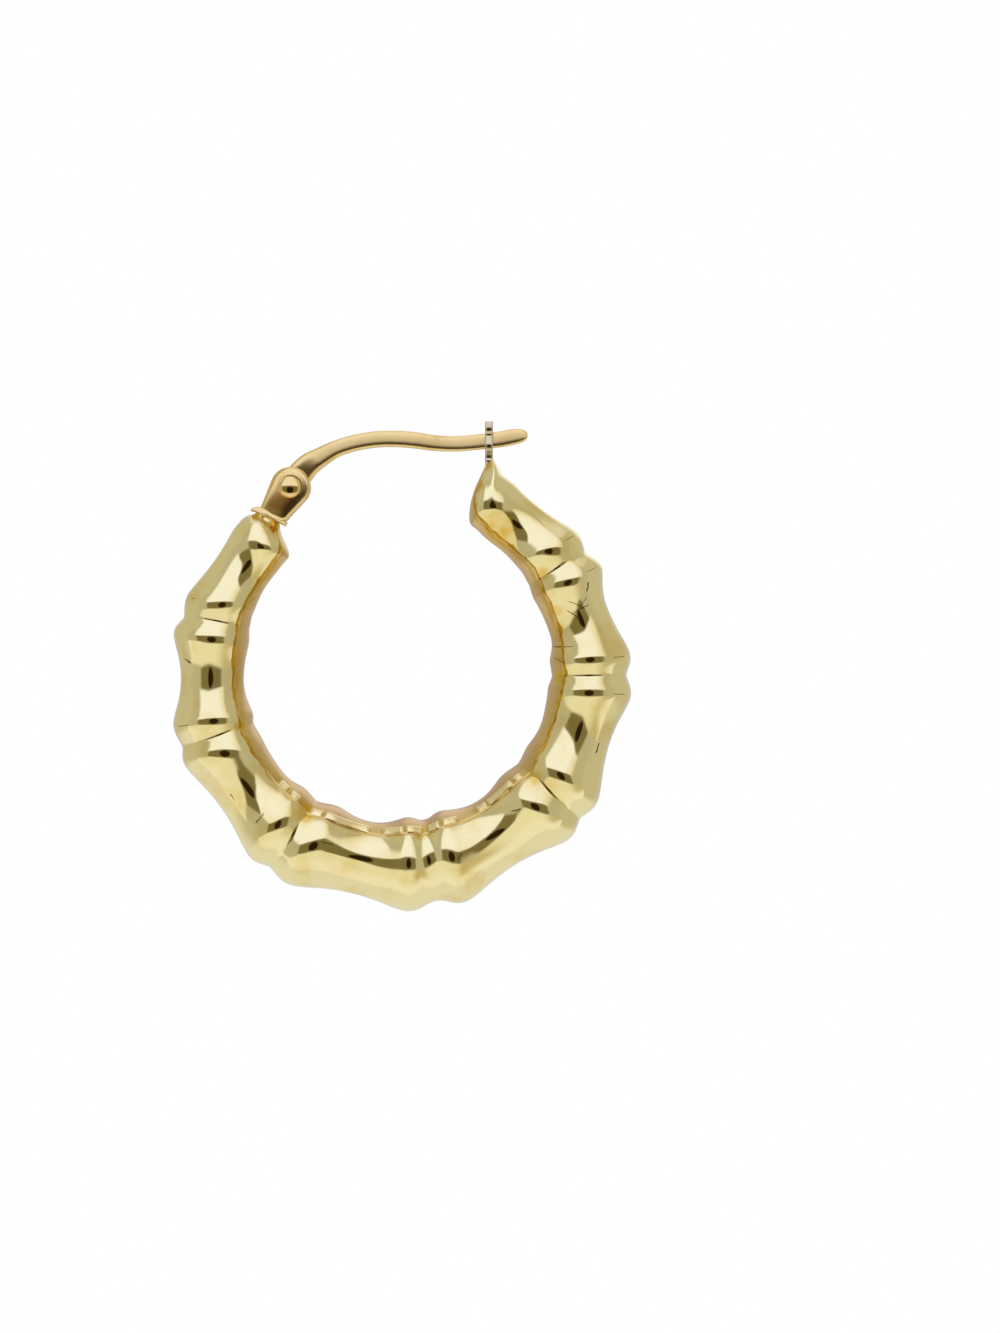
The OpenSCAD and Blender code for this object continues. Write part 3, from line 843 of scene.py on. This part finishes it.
def fading(tree, value, low, high, below, above, part=1.0):
    """A colour that fades smoothly from below to above, or part of the way there, as a socket's value goes
    from low to high. Each colour is a socket or linear red, green, blue."""
    step = add(tree, "ShaderNodeMapRange", {
        "Value": value, "From Min": low, "From Max": high, "To Max": part}, interpolation_type="SMOOTHSTEP")
    below, above = (c if isinstance(c, bpy.types.NodeSocket) else (*c, 1) for c in (below, above))
    return add(tree, "ShaderNodeMix", {"Factor": step.outputs["Result"], 6: below, 7: above},
               data_type="RGBA").outputs[2]


def stained(tree, place, base, stain):
    """The gold's colour with thin yellowish stains where a pattern of patches is high."""
    patches = add(tree, "ShaderNodeTexNoise", {
        "Vector": place, "Scale": per_metre(STAIN_PATCHES), "Detail": 3.0, "Roughness": 0.55})
    return fading(tree, patches.outputs["Fac"], 0.48, 0.74, base, stain, 0.65)


def buffed(tree, place, strength):
    """The normal of metal buffed by hand: waves about a millimetre long under fine hairlines."""
    waves = add(tree, "ShaderNodeTexNoise", {
        "Vector": place, "Scale": per_metre(BUFFED_WAVES), "Detail": 2.0}).outputs["Fac"]
    stretched = add(tree, "ShaderNodeMapping", {
        "Vector": place, "Rotation": HAIRLINE_TURN, "Scale": per_metre(HAIRLINES)}).outputs["Vector"]
    hairs = add(tree, "ShaderNodeTexNoise", {
        "Vector": stretched, "Scale": 1.0, "Detail": 2.0}).outputs["Fac"]
    height = add(tree, "ShaderNodeMath", {0: hairs, 1: HAIRLINE_SHARE, 2: waves}, operation="MULTIPLY_ADD")
    return add(tree, "ShaderNodeBump", {"Height": height.outputs[0], "Strength": strength,
                                        "Distance": WAVE_HEIGHT * MM}).outputs["Normal"]


def mark_middles(rows):
    """Middles of marks on the upper face in metres as the earring lies, from rows that begin with X and
    Y."""
    return row_frame(np.column_stack([rows[:, :2], np.full(len(rows), MARK_HEIGHT)]))


def spots(tree, place, rows):
    """How strongly any of the marks in rows covers a place: fully in its core, and fading out at its
    radius."""
    flat = add(tree, "ShaderNodeVectorMath", {0: place, 1: SPOT_SHAPE}, operation="MULTIPLY").outputs[0]
    cover = 0.0
    for (_, _, radius, strength), middle in zip(rows, mark_middles(rows)):
        away = add(tree, "ShaderNodeVectorMath", {0: flat, 1: middle * SPOT_SHAPE}, operation="DISTANCE")
        mark = add(tree, "ShaderNodeMapRange", {
            "Value": away.outputs["Value"], "From Min": radius * MM, "From Max": radius * MM * SPOT_CORE,
            "To Max": strength}, interpolation_type="SMOOTHSTEP").outputs["Result"]
        cover = add(tree, "ShaderNodeMath", {0: cover, 1: mark}, operation="MAXIMUM").outputs[0]
    return cover


def scratched(tree, place, rows):
    """1 in the scratches of rows, 0 elsewhere: near enough to a scratch's line, and within its length.
    Noise shifts places so that the lines bend."""
    bend = add(tree, "ShaderNodeTexNoise", {
        "Vector": place, "Scale": per_metre(SCRATCH_BENDS), "Detail": 2.0}).outputs["Color"]
    shift = np.array([SCRATCH_SHIFT * MM, SCRATCH_SHIFT * MM, 0])
    shifted = add(tree, "ShaderNodeVectorMath", {0: bend, 1: shift, 2: place},
                  operation="MULTIPLY_ADD").outputs[0]
    cover = 0.0
    for (_, _, turn, length, width), middle in zip(rows, mark_middles(rows)):
        own = add(tree, "ShaderNodeMapping", {"Vector": shifted, "Location": middle + shift / 2,
                                              "Rotation": (0, 0, np.radians(turn))}, vector_type="TEXTURE")
        apart = add(tree, "ShaderNodeSeparateXYZ", {"Vector": own.outputs["Vector"]})
        half, width = length * MM / 2, width * MM
        within = hump(tree, apart.outputs[0], -half, -half / 2, half / 2, half)
        line = hump(tree, apart.outputs[1], -width, -width / 3, width / 3, width)
        upper = add(tree, "ShaderNodeMath", {0: apart.outputs[2], 1: -MARK_REACH * MM},
                    operation="GREATER_THAN").outputs[0]
        mark = add(tree, "ShaderNodeMath", {0: within, 1: line}, operation="MULTIPLY").outputs[0]
        mark = add(tree, "ShaderNodeMath", {0: mark, 1: upper}, operation="MULTIPLY").outputs[0]
        cover = add(tree, "ShaderNodeMath", {0: cover, 1: mark}, operation="MAXIMUM").outputs[0]
    return cover


def wandering(tree, place, seam):
    """Distances from the seam, shifted by the seam's shift times a noise less a half, so that it isn't
    straight."""
    wander = add(tree, "ShaderNodeTexNoise", {
        "Vector": place, "Scale": per_metre(SEAM_BENDS), "Detail": 2.0}).outputs["Fac"]
    shifted = add(tree, "ShaderNodeMath", {0: wander, 1: SEAM_SHIFT, 2: seam}, operation="MULTIPLY_ADD")
    return add(tree, "ShaderNodeMath", {0: shifted.outputs[0], 1: SEAM_SHIFT / 2},
               operation="SUBTRACT").outputs[0]


def dark_ridge_lines(tree, place, ridge, outward, up):
    """1 in the broken dark lines along the ridges, 0 elsewhere: close to a ridge, between the outer edge
    and the crest, where a noise is high, and never on the thick part of the hoop."""
    broken = add(tree, "ShaderNodeTexNoise", {
        "Vector": place, "Scale": per_metre(RIDGE_LINE_BREAKS), "Detail": 1.0}).outputs["Fac"]
    cover = hump(tree, outward, *RIDGE_LINE_ENDS)
    for value, limit, side in ((ridge, RIDGE_LINE_WIDTH, "LESS_THAN"), (broken, 0.48, "GREATER_THAN"),
                               (up, THICK_PART[0] * MM, "GREATER_THAN")):
        part = add(tree, "ShaderNodeMath", {0: value, 1: limit}, operation=side).outputs[0]
        cover = add(tree, "ShaderNodeMath", {0: cover, 1: part}, operation="MULTIPLY").outputs[0]
    return cover


def strip_tint(tree, place, seam):
    """The inner strip's colour: mottled, and plainer and rosier away from the seam."""
    f = finishes()
    mottled = add(tree, "ShaderNodeTexNoise", {
        "Vector": place, "Scale": per_metre(STRIP_MOTTLE), "Detail": 4.0, "Roughness": 0.6}).outputs["Fac"]
    strip = fading(tree, mottled, 0.42, 0.66, f.strip, f.strip_stain, 0.8)
    return fading(tree, seam, 0.2, 1.1, strip, f.strip_edge)


def seam_line(tree, place, seam):
    """1 on the seam's line of solder, 0 elsewhere. A noise makes its width ragged."""
    ragged = add(tree, "ShaderNodeTexNoise", {
        "Vector": place, "Scale": per_metre(SEAM_RAGS), "Detail": 3.0}).outputs["Fac"]
    width = add(tree, "ShaderNodeMapRange", {
        "Value": ragged, "From Min": 0.35, "From Max": 0.65, "To Min": SEAM_LINE[0],
        "To Max": SEAM_LINE[1]}).outputs["Result"]
    away = add(tree, "ShaderNodeMath", {0: seam}, operation="ABSOLUTE").outputs[0]
    return add(tree, "ShaderNodeMath", {0: away, 1: width}, operation="LESS_THAN").outputs[0]


def yellow_gold():
    """9 carat yellow gold, pressed, soldered along the seam and buffed on a mop. To the eye it is a pale
    yellow mirror with faint waves, a few scratches with dirt in them, warm tarnish where the torch was, a
    brown line of solder, and a duller, rosier strip inside the hoop that the mop didn't reach."""
    f = finishes()
    made, tree, out = new_material("polished_yellow_gold")
    place = add(tree, "ShaderNodeTexCoord").outputs["Object"]
    up = add(tree, "ShaderNodeSeparateXYZ", {"Vector": place}).outputs[1]
    seam, ridge, outward, solder = (add(tree, "ShaderNodeAttribute", attribute_name=name).outputs["Fac"]
                                    for name in ("seam_mm", "ridge_mm", "outward", "solder"))
    seam = wandering(tree, place, seam)
    uneven = add(tree, "ShaderNodeTexNoise", {
        "Vector": place, "Scale": per_metre(TARNISH_MOTTLE), "Detail": 3.0}).outputs["Fac"]
    tarnish = add(tree, "ShaderNodeMath", {0: spots(tree, place, TARNISH), 1: uneven},
                  operation="MULTIPLY").outputs[0]
    # The seam line is lighter on the thick part of the hoop
    line_tint = fading(tree, up, THICK_PART[1] * MM, THICK_PART[0] * MM, f.seam_low, f.seam)

    # From the metal outward: stains, dark lines at ridges, the strip past the seam, then what lies over
    # both. Fades by the seam are in millimetres from it
    tint = stained(tree, place, f.yellow_gold, f.stain)
    # Dark lines along the ridges, in the dark brown of the dirt in scratches
    tint = fading(tree, dark_ridge_lines(tree, place, ridge, outward, up), 0.0, 1.0, tint, f.dirt, 0.75)
    tint = fading(tree, seam, -0.7, 0.0, tint, f.strip, 0.35)
    tint = fading(tree, seam, 0.0, 0.08, tint, strip_tint(tree, place, seam))
    tint = fading(tree, tarnish, 0.05, 0.65, tint, f.tarnish)
    # Painted highlight: the tops of the solder beads fade to a near-white colour
    tint = fading(tree, solder, 0.05, 0.3, tint, f.solder)
    tint = fading(tree, scratched(tree, place, SCRATCHES), 0.0, 1.0, tint, f.dirt, 0.9)
    tint = fading(tree, seam_line(tree, place, seam), 0.0, 1.0, tint, line_tint)

    roughness = add(tree, "ShaderNodeMapRange", {"Value": seam, "From Min": 0.0, "From Max": 0.15,
                                                 "To Min": BUFFED_ROUGHNESS, "To Max": STRIP_ROUGHNESS})
    strength = add(tree, "ShaderNodeMapRange", {"Value": seam, "From Min": 0.0, "From Max": 0.1,
                                                "To Min": BUFFED_STRENGTH, "To Max": STRIP_STRENGTH})
    metal = add(tree, "ShaderNodeBsdfPrincipled", {
        "Base Color": tint, "Metallic": 1.0, "Roughness": roughness.outputs["Result"],
        "Normal": buffed(tree, place, strength.outputs["Result"])})
    tree.links.new(metal.outputs["BSDF"], out.inputs["Surface"])
    return made


def small_part_gold(name, base, stain, roughness, strength):
    """A gold alloy of the small parts, with stains, waves and hairlines, made once for each name. Faces
    are browner from the rim inward."""
    if name in bpy.data.materials:
        return bpy.data.materials[name]
    made, tree, out = new_material(name)
    place = add(tree, "ShaderNodeTexCoord").outputs["Object"]
    inset = add(tree, "ShaderNodeAttribute", attribute_name="inset").outputs["Fac"]
    # Faces turn browner from the rim inward
    tint = fading(tree, inset, 0.2, 1.0, stained(tree, place, base, stain), finishes().face)
    metal = add(tree, "ShaderNodeBsdfPrincipled", {
        "Base Color": tint, "Metallic": 1.0, "Roughness": roughness,
        "Normal": buffed(tree, place, strength)})
    tree.links.new(metal.outputs["BSDF"], out.inputs["Surface"])
    return made


def stamped_rose_gold():
    """9 carat gold of a rosier alloy, stamped from sheet and tumbled: to the eye a soft warm mirror with
    faces browner toward their middles and pale rims."""
    return small_part_gold("stamped_rose_gold", finishes().rose_gold, finishes().rose_stain, 0.17, 0.03)


def drawn_rose_gold():
    """The same alloy drawn and flattened to wire, and rubbed by wear: to the eye a satin face that fades
    from pale to tan, with a dark line along its lower edge."""
    return small_part_gold("drawn_rose_gold", finishes().rose_gold, finishes().rose_stain, 0.23, 0.03)


def burnished_rose_gold():
    """The same alloy spread and burnished with a cupped tool: to the eye a small bright dome with a dark
    dot."""
    return small_part_gold("burnished_rose_gold", finishes().rose_gold, finishes().rose_stain, 0.09, 0.01)


def white_gold():
    """White gold strip, rolled hard and bent for its spring: to the eye pale grey with crisp dark bands at
    its bends."""
    return small_part_gold("rolled_white_gold", finishes().white_gold, finishes().white_gold, 0.14, 0.02)


def emitting(made, tree, out, tint):
    """Closes a material with a glow of a colour socket or linear red, green, blue."""
    tint = tint if isinstance(tint, bpy.types.NodeSocket) else (*tint, 1)
    glow = add(tree, "ShaderNodeEmission", {"Color": tint, "Strength": 1.0})
    tree.links.new(glow.outputs[0], out.inputs["Surface"])
    return made


def tent_ceiling():
    """White nylon of a light tent, lit from outside, with a grey card round the lens hole. The metal
    mirrors it: bright over the far side, softer on the near side, dull at the wings, and dark at the card.
    Places are in heights of the tent's ceiling."""
    f = finishes()
    made, tree, out = new_material("tent_nylon")
    place = add(tree, "ShaderNodeTexCoord").outputs["Object"]
    scaled = add(tree, "ShaderNodeVectorMath", {0: place, "Scale": per_metre(sizes().tent_height)},
                 operation="SCALE").outputs[0]
    u, v, _ = add(tree, "ShaderNodeSeparateXYZ", {"Vector": scaled}).outputs
    away = add(tree, "ShaderNodeVectorMath", {0: scaled}, operation="LENGTH").outputs["Value"]
    tint = fading(tree, away, *WING_FADE, f.wing, f.wall_side)

    begin, end = CARD_EDGE
    across, along = hump(tree, u, *CARD_ENDS), hump(tree, v, -end, -begin, begin, end)
    card = add(tree, "ShaderNodeMath", {0: across, 1: along}, operation="MULTIPLY").outputs[0]
    tint = fading(tree, card, 0.0, 1.0, tint, f.grey_card)

    width = add(tree, "ShaderNodeMath", {0: u}, operation="ABSOLUTE").outputs[0]
    past = add(tree, "ShaderNodeMath", {0: width, 1: NEAR_BEND}, operation="SUBTRACT").outputs[0]
    past = add(tree, "ShaderNodeMath", {0: past, 1: 0.0}, operation="MAXIMUM").outputs[0]
    edge = add(tree, "ShaderNodeMath", {0: past, 1: NEAR_SLOPE, 2: v}, operation="MULTIPLY_ADD").outputs[0]
    near_tint = fading(tree, u, *NEAR_RIGHT_FADE, f.near_side, f.near_right)
    near_tint = fading(tree, v, *NEAR_LOW_FADE, near_tint, f.near_low)
    tint = fading(tree, edge, -begin, -end, tint, near_tint)

    beyond = add(tree, "ShaderNodeMapRange", {"Value": v, "From Min": begin, "From Max": end},
                 interpolation_type="SMOOTHSTEP").outputs["Result"]
    far = add(tree, "ShaderNodeMath", {0: hump(tree, u, *FAR_ENDS), 1: beyond},
              operation="MULTIPLY").outputs[0]
    tint = fading(tree, far, 0.0, 1.0, tint, fading(tree, u, *FAR_RIGHT_FADE, f.far_side, f.far_right))
    return emitting(made, tree, out, fading(tree, away, *LENS_EDGE, f.lens, tint))


def tent_side(name, close=()):
    """The tent's walls or ground cloth, lit from outside, which the flanks of the metal mirror as soft
    greys. Each side fades in by the cosine between its direction and the way from the middle. Close by,
    the cloth fades to the colours of the close sides."""
    f = finishes()
    made, tree, out = new_material(name)
    place = add(tree, "ShaderNodeTexCoord").outputs["Object"]
    level = add(tree, "ShaderNodeVectorMath", {0: place, 1: (1.0, 1.0, 0.0)},
                operation="MULTIPLY").outputs[0]
    way = add(tree, "ShaderNodeVectorMath", {0: level}, operation="NORMALIZE").outputs[0]
    tints = []
    for rows, tint in ((WALL_SIDES, f.wall_side), (close, f.ground)):
        for x, y, low, high, side in rows:
            toward = add(tree, "ShaderNodeVectorMath", {0: way, 1: (x, y, 0.0)}, operation="DOT_PRODUCT")
            tint = fading(tree, toward.outputs["Value"], low, high, tint, getattr(f, side))
        tints.append(tint)
    if not close:
        return emitting(made, tree, out, tints[0])
    away = add(tree, "ShaderNodeVectorMath", {0: level}, operation="LENGTH").outputs["Value"]
    begin, end = np.array(CLOSE_FADE) * MM
    return emitting(made, tree, out, fading(tree, away, begin, end, tints[1], tints[0]))


class EARRING_OT_hoop(bpy.types.Operator):
    """Builds the hollow bamboo tube with its seam and end caps"""

    bl_idname = "earring.hoop"
    bl_label = "Hoop"

    def execute(self, context):
        grid, attributes = hoop_surface()
        mesh_piece("hoop_tube", grid, "hoop", ["hoop"], yellow_gold(), attributes)
        return {"FINISHED"}


class EARRING_OT_bracket(bpy.types.Operator):
    """Builds the hinge bracket's two ears and base plate"""

    bl_idname = "earring.bracket"
    bl_label = "Hinge bracket"

    def execute(self, context):
        metal = stamped_rose_gold()
        ear, inset = bracket_ear()
        for name, grid in (("front", ear), ("back", (ear * (1, 1, -1))[:, ::-1])):
            mesh_piece(f"hinge_ear_{name}", grid, "hoop", ["hoop"], metal, {"inset": inset})
        base, inset = bracket_base()
        mesh_piece("hinge_base", base, "hoop", ["hoop"], metal, {"inset": inset})
        return {"FINISHED"}


class EARRING_OT_rivet(bpy.types.Operator):
    """Builds the rivet with its two domed heads"""

    bl_idname = "earring.rivet"
    bl_label = "Rivet"

    def execute(self, context):
        mesh_piece("hinge_rivet", rivet_surface(), "hoop", ["rivet"], burnished_rose_gold())
        return {"FINISHED"}


class EARRING_OT_ear_wire(bpy.types.Operator):
    """Builds the ear wire and its eye"""

    bl_idname = "earring.ear_wire"
    bl_label = "Ear wire"

    def execute(self, context):
        metal = drawn_rose_gold()
        mesh_piece("ear_wire_bar", wire_surface(), "ear_wire", ["ear_wire"], metal)
        mesh_piece("ear_wire_eye", eye_surface(), "ear_wire", ["ear_wire"], metal)
        return {"FINISHED"}


class EARRING_OT_catch(bpy.types.Operator):
    """Builds the forked catch of bent strip"""

    bl_idname = "earring.catch"
    bl_label = "Catch"

    def execute(self, context):
        metal = white_gold()
        for name, side in (("front", 1), ("back", -1)):
            mesh_piece(f"catch_prong_{name}", prong_surface(side), "hoop", ["hoop"], metal)
        return {"FINISHED"}


def square(half, height):
    """A level square's corners about the middle, anticlockwise from above."""
    return [(-half, -half, height), (half, -half, height), (half, half, height), (-half, half, height)]


def stage_piece(name, corners, faces, material):
    """A flat-sided piece of the stage, from corners in metres about its middle."""
    mesh = bpy.data.meshes.new(name)
    mesh.from_pydata(corners, [], faces)
    mesh.materials.append(material)
    piece = bpy.data.objects.new(name, mesh)
    bpy.context.scene.collection.objects.link(piece)
    return piece


def over_hoop(away):
    """The place away millimetres over what the middle of the photo shows, looking straight down on the
    hoop's plane with the photo's up: its X, Y and Z ways and its point in metres are the matrix's
    columns."""
    aim = [(WIDE_PX / 2 - MIDDLE_PX[0]) / PIXELS_PER_MM, (MIDDLE_PX[1] - HIGH_PX / 2) / PIXELS_PER_MM, 0.0]
    eye, middle, up = row_frame(aim + np.array([(0, 0, away), (0, 0, 0), (0, 1, 0)]))
    back = (eye - middle) / np.linalg.norm(eye - middle)
    upward = (up - middle) / np.linalg.norm(up - middle)
    matrix = np.eye(4)
    matrix[:3] = np.column_stack([np.cross(upward, back), upward, back, eye])
    return Matrix(matrix.tolist())


class EARRING_OT_stage(bpy.types.Operator):
    """Builds the light table, light tent and camera"""

    bl_idname = "earring.stage"
    bl_label = "Studio"

    def execute(self, context):
        s = sizes()
        half = s.tent_half * MM
        top, bottom = square(half, 0), square(half, -(s.tent_height + s.ground_drop) * MM)
        ceiling = stage_piece("tent_ceiling", top, [(3, 2, 1, 0)], tent_ceiling())
        around = [(k, (k + 1) % 4, (k + 1) % 4 + 4, k + 4) for k in range(4)]
        walls = stage_piece("tent_walls", top + bottom, around, tent_side("tent_wall_nylon"))
        ground = stage_piece("tent_ground", bottom, [(0, 1, 2, 3)], tent_side("ground_cloth", CLOSE_SIDES))
        for piece in (ceiling, walls, ground):
            piece.matrix_world = over_hoop(s.tent_height)
            piece.visible_camera = False
        # The table is seen as even white and isn't mirrored, so that the tent alone lights the metal
        table = stage_piece("light_table", square(s.table_half * MM, 0), [(0, 1, 2, 3)],
                            emitting(*new_material("light_table_glass"), finishes().table))
        table.visible_glossy = False

        view = bpy.data.cameras.new("camera")
        view.lens = view.sensor_width * s.camera_away / (HIGH_PX / PIXELS_PER_MM)
        view.clip_start, view.clip_end = 0.01, 10
        camera = bpy.data.objects.new("camera", view)
        camera.matrix_world = over_hoop(s.camera_away)
        context.scene.collection.objects.link(camera)
        context.scene.camera = camera
        context.scene.view_settings.view_transform = "Standard"
        world = bpy.data.worlds.new("dark_studio")
        world.use_nodes = True
        world.node_tree.nodes["Background"].inputs["Strength"].default_value = 0.0
        context.scene.world = world
        return {"FINISHED"}


class EARRING_PT_panel(bpy.types.Panel):
    """Lists the earring's pieces and sizes"""

    bl_idname = "EARRING_PT_panel"
    bl_label = "Earring"
    bl_space_type = "VIEW_3D"
    bl_region_type = "UI"
    bl_category = "Earring"

    def draw(self, context):
        for operator in OPERATORS:
            self.layout.operator(operator.bl_idname)
        scene = context.scene
        for group in (scene.earring_sizes, scene.studio_sizes, scene.earring_finishes):
            for key in group.__annotations__:
                self.layout.prop(group, key)


GROUPS = (EarringSizes, StudioSizes, EarringFinishes)
OPERATORS = (EARRING_OT_hoop, EARRING_OT_bracket, EARRING_OT_rivet, EARRING_OT_ear_wire, EARRING_OT_catch,
             EARRING_OT_stage)


def register():
    for cls in (*GROUPS, *OPERATORS, EARRING_PT_panel):
        bpy.utils.register_class(cls)
    bpy.types.Scene.earring_sizes = PointerProperty(type=EarringSizes)
    bpy.types.Scene.studio_sizes = PointerProperty(type=StudioSizes)
    bpy.types.Scene.earring_finishes = PointerProperty(type=EarringFinishes)


def unregister():
    del bpy.types.Scene.earring_finishes
    del bpy.types.Scene.studio_sizes
    del bpy.types.Scene.earring_sizes
    for cls in reversed((*GROUPS, *OPERATORS, EARRING_PT_panel)):
        bpy.utils.unregister_class(cls)


def main():
    """Registers the add-on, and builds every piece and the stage."""
    register()
    bpy.ops.earring.hoop()
    bpy.ops.earring.bracket()
    bpy.ops.earring.rivet()
    bpy.ops.earring.ear_wire()
    bpy.ops.earring.catch()
    bpy.ops.earring.stage()


if __name__ == "__main__":
    main()
